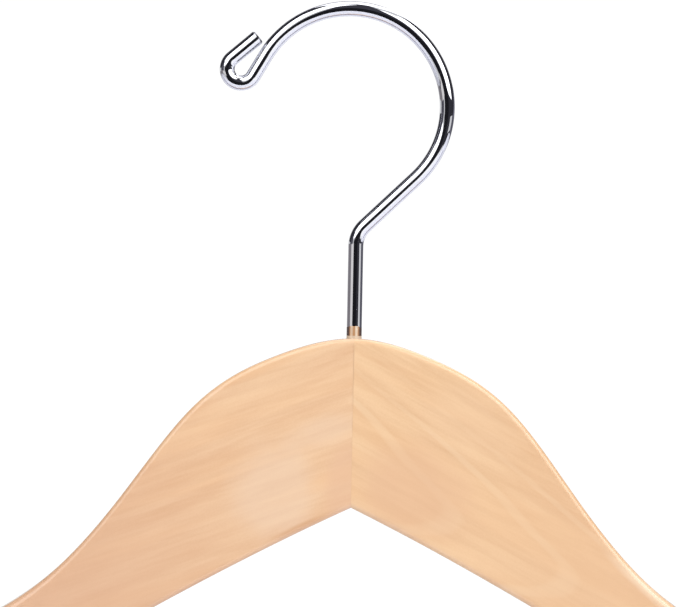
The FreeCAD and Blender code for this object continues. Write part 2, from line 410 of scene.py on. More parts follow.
@dataclass(frozen=True)
class LacqueredWood:
    """Pale close-grained wood, cut along one direction, under clear gloss lacquer.

    The growth rings are cones about a leaning pith line, so a flat face shows long streaks and
    pointed arches, and the rounded edges and ends carry the same rings round. Lengths are in
    millimetres, and grain_angle is in degrees about Y.
    """

    name: str
    grain_angle: float
    pith_across: float
    pith_behind: float
    pith_taper: float
    pale: tuple
    deep: tuple
    far: tuple
    far_share: float
    seed: float
    patches: tuple
    seed_way: tuple = (1.0, 0.37, 0.61)
    far_span: tuple = (60.0, 170.0)
    far_slant: float = 0.5
    line: tuple = linear(247, 216, 178)
    line_share: float = 0.0
    line_from: float = 0.7
    line_fades: tuple = (12.0, 26.0)
    line_left: float = 0.15
    painted_sheen: tuple = linear(247, 201, 152)
    painted_sheen_share: float = 0.35
    ring_pitch: float = 4.2
    ring_shift: float = 0.0
    ring_share: float = 0.16
    ring_wander: float = 7.0
    ring_wander_scale: float = 42.0
    tone_shift: float = -0.05
    fibre_stretch: float = 0.09
    streaks: Grain = Grain(270.0, 4.0, 0.38, 0.62, 0.24, 0.3)
    threads: Grain = Grain(620.0, 3.0, 0.40, 0.62, 0.22, 0.2)
    fibres: Grain = Grain(1300.0, 2.0, 0.3, 0.7, 0.14)
    drift: Grain = Grain(16.0, 1.0, 0.35, 0.65, 0.22)
    flecks: Grain = Grain(2300.0, 1.0, 0.3, 0.7, 0.12)
    sheen: Grain = Grain(150.0, 2.0, 0.42, 0.66, 1.0, 0.3)
    seam_line: tuple = linear(224, 180, 142)
    seam_line_share: float = 0.45
    seam_line_edges: tuple = (0.03, 0.2)
    seam_line_scale: float = 380.0

    def material(self) -> bpy.types.Material:
        """Builds the node material.

        Returns:
            The finished material.
        """
        shader = Shader(self.name)
        turned = shader.turned(shader.place, self.grain_angle)
        colour = self.figure(shader, turned)
        # The patches add painted sheen, painted shade and painted highlight.
        for patch in self.patches:
            colour = patch.over(shader, colour)
        shader.dress({"Base Color": self.glue_line(shader, colour)})
        return self.lacquer(shader, turned)

    def figure(self, shader: Shader, turned: object) -> bpy.types.NodeSocket:
        """The wood's colour: its own rings, streaks, fibres, flecks and broad drifts of tone, a painted sheen
        along the grain, and a tone that grows darker towards the arm's ends.

        Args:
            shader: The material under construction.
            turned: Object coordinates with X along the grain.

        Returns:
            The colour socket.
        """
        shifted = shader.vector("ADD", turned, tuple(self.seed * way for way in self.seed_way))
        stretched = shader.stretched(shifted, self.fibre_stretch)
        across = shader.math("SUBTRACT", shader.axis(turned, "Z"), self.pith_across * MM)
        waves = self.ring_waves(shader, turned, across, stretched)
        tone = shader.math("MULTIPLY_ADD", shader.band(waves, -1.0, 1.0), self.ring_share, self.tone_shift)
        layers = (
            (self.streaks, stretched),
            (self.threads, stretched),
            (self.fibres, stretched),
            (self.drift, shifted),
            (self.flecks, shader.place),
        )
        for layer, vector in layers:
            tone = shader.math("MULTIPLY_ADD", layer.on(shader, vector), layer.share, tone)
        colour = shader.mix(tone, self.pale, self.deep)
        line = shader.band(waves, self.line_from, 1.0, 0.0, self.line_share)
        near = shader.fade(shader.math("ABSOLUTE", across), self.line_fades, 1.0, self.line_left)
        colour = shader.mix(shader.math("MULTIPLY", line, near), colour, self.line)
        # Painted sheen: a brighter colour laid along the grain's noise, standing in for light on the fibres.
        painted_sheen = shader.math("MULTIPLY", self.sheen.on(shader, stretched), self.painted_sheen_share)
        colour = shader.mix(painted_sheen, colour, self.painted_sheen)
        height = shader.axis(shader.place, "Z")
        outwards = shader.math("MULTIPLY_ADD", height, -self.far_slant, shader.apart("X"))
        far = shader.fade(outwards, self.far_span, 0.0, self.far_share)
        return shader.mix(far, colour, self.far)

    def ring_waves(
        self, shader: Shader, turned: object, across: object, stretched: object
    ) -> bpy.types.NodeSocket:
        """Growth rings: the sine of the wandering distance from the leaning pith line.

        Args:
            shader: The material under construction.
            turned: Object coordinates with X along the grain.
            across: Distance across the grain from the pith line.
            stretched: Coordinates that draw noise out along the grain.

        Returns:
            A value from -1 to 1 that repeats at the rings' pitch.
        """
        depth = shader.math("SUBTRACT", shader.axis(turned, "Y"), self.pith_behind * MM)
        squares = shader.math("MULTIPLY_ADD", across, across, shader.math("MULTIPLY", depth, depth))
        distance = shader.math("SQRT", squares)
        cone = shader.math("MULTIPLY_ADD", shader.axis(turned, "X"), self.pith_taper, distance)
        noise = shader.noise(stretched, self.ring_wander_scale)
        wander = shader.math("MULTIPLY_ADD", noise, self.ring_wander * MM, self.ring_shift * MM)
        radius = shader.math("ADD", cone, wander)
        return shader.math("SINE", shader.math("MULTIPLY", radius, 2 * math.pi / (self.ring_pitch * MM)))

    def glue_line(self, shader: Shader, colour: object) -> bpy.types.NodeSocket:
        """Darkens a hair's breadth along the seam.

        Args:
            shader: The material under construction.
            colour: The colour so far.

        Returns:
            The colour with the broken line in it.
        """
        line = shader.fade(shader.apart("X"), self.seam_line_edges, self.seam_line_share, 0.0)
        broken = shader.math("MULTIPLY", line, shader.noise(shader.place, self.seam_line_scale))
        return shader.mix(broken, colour, self.seam_line)

    @staticmethod
    def lacquer(shader: Shader, turned: object) -> bpy.types.Material:
        """Sets the clear coat and the very slight waviness of the fibres under it.

        Args:
            shader: The material under construction.
            turned: Object coordinates with X along the grain.

        Returns:
            The finished material.
        """
        fibres = shader.noise(shader.stretched(turned, 0.08), 900.0, 3.0)
        return shader.dress({
            "Roughness": shader.band(fibres, 0.2, 0.8, 0.42, 0.56),
            "Specular IOR Level": 0.35,
            "Normal": shader.bump(fibres, 0.12, 0.05),
            "Coat Weight": 1.0,
            "Coat Roughness": 0.06,
            "Coat IOR": 1.5,
            "Coat Normal": shader.bump(shader.noise(shader.place, 240.0), 0.10, 0.08),
        })


@dataclass(frozen=True)
class ChromePlate:
    """Bright chrome on drawn wire: a clean, faintly hazy mirror, with a painted foot and a cut end.

    Below a ragged edge the foot of the wire is duller and hardly metallic, and it carries a painted
    reflection of the wood. That reflection is golden, with painted shade at the sides, two streaks of painted
    highlight and a pale pool of painted highlight at the wood. Past the tail, around cut_end, the plate gives
    way to sheared steel. Lengths are in millimetres, except cut_end, which is a place in metres.
    """

    name: str = "chrome_plate"
    tint: tuple = (0.86, 0.87, 0.92, 1.0)
    clouded: tuple = (0.80, 0.80, 0.86, 1.0)
    cloud_share: float = 0.25
    smooth: float = 0.025
    hazy: float = 0.07
    foot_reflection: tuple = linear(206, 152, 100)
    foot_side_shade: tuple = linear(74, 50, 44)
    foot_highlight: tuple = linear(252, 234, 210)
    foot_reflection_share: float = 0.95
    painted_foot_height: float = 2.9
    painted_foot_ragged: float = 1.2
    side_shade_edges: tuple = (0.8, 1.5)
    highlight_streaks: tuple = ((0.55, 0.95), (-0.65, 0.6))
    highlight_streak_edges: tuple = (0.12, 0.5)
    highlight_pool_height: float = 0.7
    highlight_pool_ragged: float = 0.5
    highlight_pool_share: float = 0.8
    cut_end: tuple = (0.0, 0.0, 0.0)
    cut_edges: tuple = (2.2, 2.35)
    cut_steel: tuple = (0.20, 0.20, 0.23, 1.0)
    cut_dullness: float = 0.22

    def material(self) -> bpy.types.Material:
        """Builds the node material.

        Returns:
            The finished material.
        """
        shader = Shader(self.name)
        haze = shader.noise(shader.place, 320.0, 3.0)
        cloud = shader.band(shader.noise(shader.place, 60.0), 0.3, 0.7, 0.0, self.cloud_share)
        # Below a ragged edge the foot gets a painted reflection of the wood and is made duller and hardly
        # metallic.
        painted_foot = self.below(shader, haze, self.painted_foot_height, self.painted_foot_ragged)
        from_end = shader.vector("DISTANCE", shader.place, self.cut_end, "Value")
        sheared = shader.fade(from_end, self.cut_edges, 1.0, 0.0)
        colour = shader.mix(cloud, self.tint, self.clouded)
        foot_reflection_share = shader.math("MULTIPLY", painted_foot, self.foot_reflection_share)
        # Painted reflection, painted shade and painted highlights on the foot.
        colour = shader.mix(foot_reflection_share, colour, self.painted_foot_reflection(shader, haze))
        polish = shader.band(haze, 0.45, 0.8, self.smooth, self.hazy)
        polish = shader.math("MULTIPLY_ADD", painted_foot, 0.2, polish)
        return shader.dress({
            "Base Color": shader.mix(sheared, colour, self.cut_steel),
            "Metallic": shader.math("MULTIPLY_ADD", painted_foot, -0.8, 1.0),
            "Roughness": shader.math("MULTIPLY_ADD", sheared, self.cut_dullness, polish),
            "Normal": shader.bump(shader.noise(shader.place, 150.0, 1.0), 0.05, 0.05),
        })

    @staticmethod
    def below(shader: Shader, haze: object, height: float, ragged: float) -> bpy.types.NodeSocket:
        """Marks the foot of the wire below a ragged edge.

        Args:
            shader: The material under construction.
            haze: The noise that makes the edge ragged.
            height: The edge's mean height above the wood.
            ragged: How far the edge goes up and down in all.

        Returns:
            1 below the edge and 0 above it.
        """
        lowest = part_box("left_arm")[1].z + (height - ragged / 2) * MM
        edge = shader.math("MULTIPLY_ADD", haze, ragged * MM, lowest)
        return shader.math("LESS_THAN", shader.axis(shader.place, "Z"), edge)

    def painted_foot_reflection(self, shader: Shader, haze: object) -> bpy.types.NodeSocket:
        """The painted reflection on the foot: painted shade at the sides, two streaks of painted highlight
        and a pool of painted highlight.

        Args:
            shader: The material under construction.
            haze: The noise that makes the edge of the highlight pool ragged.

        Returns:
            The colour socket.
        """
        # Painted shade darkens the foot's sides.
        side_shade = shader.fade(shader.apart("X"), self.side_shade_edges)
        foot_colour = shader.mix(side_shade, self.foot_reflection, self.foot_side_shade)
        # Two streaks of painted highlight.
        for offset, share in self.highlight_streaks:
            highlight_streak = shader.fade(shader.apart("X", offset * MM), self.highlight_streak_edges, share, 0.0)
            foot_colour = shader.mix(highlight_streak, foot_colour, self.foot_highlight)
        # A pool of painted highlight where the wire meets the wood.
        highlight_pool = self.below(shader, haze, self.highlight_pool_height, self.highlight_pool_ragged)
        return shader.mix(shader.math("MULTIPLY", highlight_pool, self.highlight_pool_share), foot_colour, self.foot_highlight)


@dataclass(frozen=True)
class TurnedMetal:
    """Plain metal turned on a lathe, with fine rings and a dull patchiness."""

    name: str
    bright: tuple
    dull: tuple
    roughness: float = 0.32
    ring_stretch: float = 0.05

    def material(self) -> bpy.types.Material:
        """Builds the node material.

        Returns:
            The finished material.
        """
        shader = Shader(self.name)
        scale = (self.ring_stretch, self.ring_stretch, 1.0)
        lines = shader.noise(shader.vector("MULTIPLY", shader.place, scale), 4200.0)
        patches = shader.band(shader.noise(shader.place, 700.0, 3.0), 0.35, 0.7)
        return shader.dress({
            "Base Color": shader.mix(patches, self.bright, self.dull),
            "Metallic": 1.0,
            "Roughness": shader.band(patches, 0.0, 1.0, self.roughness * 0.8, self.roughness * 1.4),
            "Normal": shader.bump(lines, 0.25, 0.03),
        })


@dataclass(frozen=True)
class BareWood:
    """Dry unlacquered hardwood, with its grain along X."""

    name: str = "bare_dowel_wood"
    pale: tuple = linear(222, 188, 146)
    deep: tuple = linear(190, 148, 104)

    def material(self) -> bpy.types.Material:
        """Builds the node material.

        Returns:
            The finished material.
        """
        shader = Shader(self.name)
        fibres = shader.noise(shader.stretched(shader.place, 0.07), 1500.0, 4.0)
        return shader.dress({
            "Base Color": shader.mix(shader.band(fibres, 0.3, 0.7), self.pale, self.deep),
            "Roughness": 0.72,
            "Normal": shader.bump(fibres, 0.4, 0.05),
        })


# ---------------------------------------------------------------------------------------------
# The wooden arms
# ---------------------------------------------------------------------------------------------


class Side(Enum):
    """Which arm of the hanger, as the sign of its x."""

    LEFT = -1
    RIGHT = 1


class SmoothEdge:
    """A clamped cubic spline z(x): smooth in slope and curvature through its stations."""

    def __init__(self, stations: list, first_slope: float, last_slope: float) -> None:
        """Solves the slopes at the stations from the equal-curvature conditions.

        Args:
            stations: Pairs of x and z in order of x.
            first_slope: The slope at the first station.
            last_slope: The slope at the last station.
        """
        self.x, self.z = np.array(stations, float).T
        step = np.diff(self.x)
        rise = np.diff(self.z) / step
        size = len(self.x)
        system, pull = np.eye(size), np.zeros(size)
        inner = np.arange(1, size - 1)
        system[inner, inner - 1] = step[1:]
        system[inner, inner] = 2 * (step[:-1] + step[1:])
        system[inner, inner + 1] = step[:-1]
        pull[inner] = 3 * (step[1:] * rise[:-1] + step[:-1] * rise[1:])
        pull[0], pull[-1] = first_slope, last_slope
        self.slope = np.linalg.solve(system, pull)

    def at(self, x: np.ndarray) -> np.ndarray:
        """Heights at x, from the cubic with the two stations' heights and slopes.

        Args:
            x: Where to read the edge.

        Returns:
            One height for each x.
        """
        piece = np.clip(np.searchsorted(self.x, x, side="right") - 1, 0, len(self.x) - 2)
        step = self.x[piece + 1] - self.x[piece]
        t = (x - self.x[piece]) / step
        before, after = self.z[piece], self.z[piece + 1]
        lean_in, lean_out = self.slope[piece] * step, self.slope[piece + 1] * step
        bend = (2 * t**3 - 3 * t**2) * (before - after)
        return before + bend + (t**3 - 2 * t**2 + t) * lean_in + (t**3 - t**2) * lean_out


@dataclass
class Arm:
    """One flat wooden arm, from the glued seam to the rounded end.

    Sizes are in millimetres and degrees, as the right arm has them; the left one is its mirror image.
    """

    side: Side
    finish: LacqueredWood
    thickness: float = 12.0
    seam_height: float = 42.1
    depth: float = 18.6
    end_angle: float = 24.2
    end_centre: tuple = (213.2, -141.5)
    seam_bottom_angle: float = 25.5
    top_stations: tuple = (
        (20.0, -4.9),
        (40.0, -17.9),
        (58.0, -41.2),
        (74.0, -59.4),
        (96.0, -74.0),
        (140.0, -97.4),
    )
    bottom_stations: tuple = ((45.0, -65.7), (100.0, -97.3), (155.0, -125.3))
    hump_rounding: float = 1.4
    shoulder_rounding: float = 2.2
    lower_rounding: float = 1.5
    end_rounding: float = 2.4
    rounding_grows: tuple = (58.0, 96.0)
    notch_at: float = 182.0
    notch_width: float = 7.0
    notch_depth: float = 9.0
    notch_lip: float = 1.1
    notch_rounding: float = 0.9
    notch_spread: float = 4.5
    notch_blend: float = 7.0
    lean_starts: float = 192.0
    seam_blend: float = 2.0
    longest_mitre: float = 2.0
    run_points: int = 190
    after_notch_points: int = 34
    cap_points: int = 30
    lip_points: int = 9
    wall_points: int = 6
    floor_points: int = 14
    rounding_points: int = 9
    face_rows: tuple = (0.02, 0.06, 0.28, 0.5, 0.72, 0.94, 0.98)
    wall_rows: tuple = (0.06, 0.5, 0.94)

    def __post_init__(self) -> None:
        """Works out the end's two corners and both edges."""
        turn = math.radians(self.end_angle)
        radius = self.depth / 2
        centre = np.array(self.end_centre)
        across = radius * np.array([math.sin(turn), math.cos(turn)])
        self.upper_corner, self.lower_corner = centre + across, centre - across
        slope = -math.tan(turn)
        top = [(0.0, 0.0), *self.top_stations, tuple(self.upper_corner)]
        bottom = [(0.0, -self.seam_height), *self.bottom_stations, tuple(self.lower_corner)]
        self.top = SmoothEdge(top, 0.0, slope)
        self.bottom = SmoothEdge(bottom, -math.tan(math.radians(self.seam_bottom_angle)), slope)

    def notch_profile(self) -> tuple[np.ndarray, np.ndarray]:
        """The strap notch as offsets from its middle and depths below the edge.

        A quarter-round lip, an upright wall, a half-round bottom, and the same again mirrored.

        Returns:
            Offsets along X and depths, in millimetres.
        """
        half, lip = self.notch_width / 2, self.notch_lip
        straight = self.notch_depth - half
        turn = np.linspace(0, math.pi / 2, self.lip_points)
        lip_x, lip_z = -half - lip + lip * np.sin(turn), lip * (1 - np.cos(turn))
        wall_z = np.linspace(lip, straight, self.wall_points + 2)[1:-1]
        round_turn = np.linspace(math.pi, 1.5 * math.pi, self.floor_points)
        round_x, round_z = half * np.cos(round_turn), straight - half * np.sin(round_turn)
        x = np.concatenate([lip_x, np.full(wall_z.size, -half), round_x])
        z = np.concatenate([lip_z, wall_z, round_z])
        return np.concatenate([x, -x[-2::-1]]), np.concatenate([z, z[-2::-1]])

    def cap(self, start: float, count: int, rounding: float) -> tuple[np.ndarray, np.ndarray]:
        """A quarter circle of the rounded end, from one of its corners to the tip.

        Args:
            start: The corner's angle from the arm's own direction: 90 above it, or -90 below it.
            count: Number of points.
            rounding: Edge rounding at the corner, which eases to the tip's.

        Returns:
            Points of x and z, and one rounding radius a point.
        """
        turn = np.radians(np.linspace(start - self.end_angle, -self.end_angle, count))
        points = np.array(self.end_centre) + self.depth / 2 * np.stack([np.cos(turn), np.sin(turn)], -1)
        blend = ease(np.linspace(0, 1, count), 0, 1)
        return points, rounding + blend * (self.end_rounding - rounding)

    def upper_path(self) -> tuple[np.ndarray, np.ndarray]:
        """The upper edge from the seam to the tip, as points and edge roundings.

        Returns:
            Points of x and z, and one rounding radius a point.
        """
        offset, dip = self.notch_profile()
        reach = self.notch_width / 2 + self.notch_lip
        start, finish = self.notch_at - reach, self.notch_at + reach
        before = np.linspace(0, start, self.run_points)[:-1]
        after = np.linspace(finish, self.upper_corner[0], self.after_notch_points)[1:-1]
        x = np.concatenate([before, self.notch_at + offset, after])
        z = self.top.at(x)
        z[before.size : before.size + dip.size] -= dip
        growth = ease(x, *self.rounding_grows)
        rounding = self.hump_rounding + growth * (self.shoulder_rounding - self.hump_rounding)
        near = 1 - ease(np.abs(x - self.notch_at), reach, reach + self.notch_blend)
        rounding += near * (self.notch_rounding - rounding)
        cap, cap_rounding = self.cap(90, self.cap_points, self.shoulder_rounding)
        return np.vstack([np.stack([x, z], -1), cap]), np.concatenate([rounding, cap_rounding])

    def lower_path(self, upper: np.ndarray) -> tuple[np.ndarray, np.ndarray]:
        """The lower edge from the seam to the tip, one point below each upper point.

        Below the notch the points fan out, so that no line from edge to edge crosses it; beyond
        it they fall behind by the square of the distance, down to the end's lower corner.

        Args:
            upper: The upper edge's points.

        Returns:
            Points of x and z, and one rounding radius a point.
        """
        straight, height = upper[: -self.cap_points].T
        lean = self.upper_corner[0] - self.lower_corner[0]
        share = np.maximum(straight - self.lean_starts, 0) / (self.upper_corner[0] - self.lean_starts)
        beside = straight - self.notch_at
        reach = self.notch_width / 2 + self.notch_lip
        sunk = np.clip((self.top.at(straight) - height) / (self.notch_depth - self.notch_width / 2), 0, 1)
        fanned = 1 - ease(np.abs(beside), reach, reach + 4 * self.notch_spread)
        spread = self.notch_spread * (1 - sunk) * fanned
        x = straight - lean * share**2 + np.sign(beside) * spread
        z = self.bottom.at(x)
        rounding = np.full(x.size, self.lower_rounding)
        cap, cap_rounding = self.cap(-90, self.cap_points, self.lower_rounding)
        return np.vstack([np.stack([x, z], -1), cap]), np.concatenate([rounding, cap_rounding])

    def inward(self, path: np.ndarray, upper: bool, at_seam: bool) -> np.ndarray:
        """Unit vectors that point from an edge into the wood.

        Args:
            path: Points of x and z along the edge.
            upper: True for the upper edge.
            at_seam: True to keep the first vector in the seam's plane, as a mitre does.

        Returns:
            One vector of x and z a point.
        """
        heading = headings(path)
        turned = np.stack([heading[:, 1], -heading[:, 0]], -1) * (1 if upper else -1)
        if at_seam:
            mitre = np.stack([np.zeros(len(path)), 1 / np.maximum(turned[:, 1], 1 / self.longest_mitre)], -1)
            share = ease(path[:, 0], 0.0, self.seam_blend)[:, None]
            turned = mitre + share * (turned - mitre)
        return turned

    def corner(self, path: np.ndarray, into: np.ndarray, radius: np.ndarray, turn: np.ndarray) -> np.ndarray:
        """The front rounding of an edge: a quarter circle between the inward direction and Y.

        Args:
            path: The edge's points of x and z.
            into: Its inward unit vectors.
            radius: Its rounding at each point.
            turn: Angles from the face (0) to the edge's own wall (a right angle).

        Returns:
            Points of x, y and z, one row a point of the path.
        """
        inset = radius[:, None] * (1 - np.sin(turn))[None, :]
        flat = path[:, None, :] + into[:, None, :] * inset[..., None]
        y = radius[:, None] * (1 - np.cos(turn))[None, :] - self.thickness / 2
        return np.stack([flat[..., 0], y, flat[..., 1]], -1)

    def skin(self) -> tuple[np.ndarray, list]:
        """The whole surface: a rounded oblong section carried along the arm.

        Each section goes up the front face, round the upper edge, down the back face, which mirrors
        the front, and round the lower edge. A row on a face or wall lies at a share of the way over.

        Returns:
            Points in millimetres and faces.
        """
        upper, upper_round = self.upper_path()
        lower, lower_round = self.lower_path(upper)
        into_upper = self.inward(upper, True, False)
        into_lower = self.inward(lower, False, True)
        tip_turn = math.radians(self.end_angle)
        into_upper[-1] = into_lower[-1] = (-math.cos(tip_turn), math.sin(tip_turn))
        turn = np.linspace(0, math.pi / 2, self.rounding_points)
        low = self.corner(lower, into_lower, lower_round, turn[::-1])
        high = self.corner(upper, into_upper, upper_round, turn)
        shares = np.array(self.face_rows)[:, None]
        face = low[:, -1:, :] * (1 - shares) + high[:, :1, :] * shares
        front = np.concatenate([low, face, high], 1)
        back = front[:, ::-1, :] * np.array([1.0, -1.0, 1.0])
        wall = np.array(self.wall_rows)[:, None]
        top_wall = front[:, -1:, :] * (1 - wall) + back[:, :1, :] * wall
        bottom_wall = back[:, -1:, :] * (1 - wall) + front[:, :1, :] * wall
        section = np.concatenate([front, top_wall, back, bottom_wall], 1)
        rows, columns = section.shape[:2]
        points = section.reshape(-1, 3) * np.array([self.side.value, 1.0, 1.0])
        return points, grid_faces(rows, columns, True) + [list(range(columns))]

    def build(self, bores: bpy.types.Object) -> bpy.types.Object:
        """Makes the arm, cuts the seam's bores and dresses it.

        Args:
            bores: The shape to take out of both arms at the seam.

        Returns:
            The finished piece.
        """
        node = f"{self.side.name.lower()}_arm"
        points, faces = self.skin()
        points[:, 2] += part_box(node)[1].z / MM
        piece = make_object(f"{node}_wood", points, faces)
        cut = piece.modifiers.new("bores", "BOOLEAN")
        cut.operation, cut.solver, cut.object = "DIFFERENCE", "EXACT", bores
        bpy.context.view_layer.update()
        shape = bpy.data.meshes.new_from_object(piece.evaluated_get(bpy.context.evaluated_depsgraph_get()))
        piece.modifiers.clear()
        piece.data = shape
        shape.name = piece.name
        shape.materials.clear()
        shape.materials.append(self.finish.material())
        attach(piece, "shoulders")
        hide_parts(node)
        LOG.info("%s: %d faces", piece.name, len(shape.polygons))
        return piece


@dataclass
class SeamBores:
    """The stepped bore for the hook and the two dowel holes, as one cutting shape.

    Sizes are in millimetres. The pocket below the sleeve takes the washer and the wire's head.
    """

    entry_radius: float = 2.2
    clearance: float = 0.02
    pocket_radius: float = 3.7
    pocket_length: float = 5.6
    overshoot: float = 3.0
    dowel_relief: float = 1.0
    around: int = 40

    def lathe(self, heights: list, radii: list, axis: str, centre: np.ndarray) -> tuple[np.ndarray, list]:
        """Turns a profile round an upright or a level axis.

        A point at angle a is the centre, plus the height along the axis, plus the radius times
        the cosine and sine of a along the other two directions.

        Args:
            heights: Places along the axis.
            radii: Radius at each place.
            axis: "Z" or "X".
            centre: A point on the axis.

        Returns:
            Points and faces, closed at both ends by flat discs.
        """
        angle = np.linspace(0, 2 * math.pi, self.around, endpoint=False)
        high, wide = np.array(heights)[:, None], np.array(radii)[:, None]
        level = np.broadcast_to(high, (len(heights), self.around))
        first, second = wide * np.cos(angle), wide * np.sin(angle)
        order = (first, second, level) if axis == "Z" else (level, first, second)
        points = np.stack(order, -1).reshape(-1, 3) + centre
        last = (len(heights) - 1) * self.around
        discs = [list(range(self.around)), list(range(last, last + self.around))]
        return points, grid_faces(len(heights), self.around, True) + discs

    def build(self) -> bpy.types.Object:
        """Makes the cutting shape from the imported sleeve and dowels.

        Returns:
            The cutter, which is removed once both arms are cut.
        """
        sleeve_low, sleeve_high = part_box("hook_sleeve")
        sleeve_radius = sleeve_high.x / MM + self.clearance
        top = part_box("left_arm")[1].z / MM + self.overshoot
        upper, lower = sleeve_high.z / MM, sleeve_low.z / MM
        heights = [lower - self.pocket_length, lower, lower, upper, upper, top]
        radii = [self.pocket_radius] * 2 + [sleeve_radius] * 2 + [self.entry_radius] * 2
        points, faces = self.lathe(heights, radii, "Z", np.zeros(3))
        parts = [make_object("bore_cutter", points, faces)]
        for name in ("upper_dowel", "lower_dowel"):
            low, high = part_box(name)
            reach = high.x / MM + self.dowel_relief
            radius = (high.z - low.z) / MM / 2 + self.clearance
            centre = np.array([0.0, 0.0, (high.z + low.z) / MM / 2])
            points, faces = self.lathe([-reach, reach], [radius, radius], "X", centre)
            parts.append(make_object(f"{name}_cutter", points, faces))
        joined = parts[0]
        for other in parts[1:]:
            joined.data = self.merged(joined.data, other.data)
            bpy.data.objects.remove(other)
        return joined

    @staticmethod
    def merged(first: bpy.types.Mesh, second: bpy.types.Mesh) -> bpy.types.Mesh:
        """Joins two meshes that don't touch.

        Args:
            first: The mesh that takes the other in.
            second: The other mesh.

        Returns:
            The first mesh.
        """
        work = bmesh.new()
        work.from_mesh(first)
        work.from_mesh(second)
        work.to_mesh(first)
        work.free()
        return first


# ---------------------------------------------------------------------------------------------
# The hook
# ---------------------------------------------------------------------------------------------


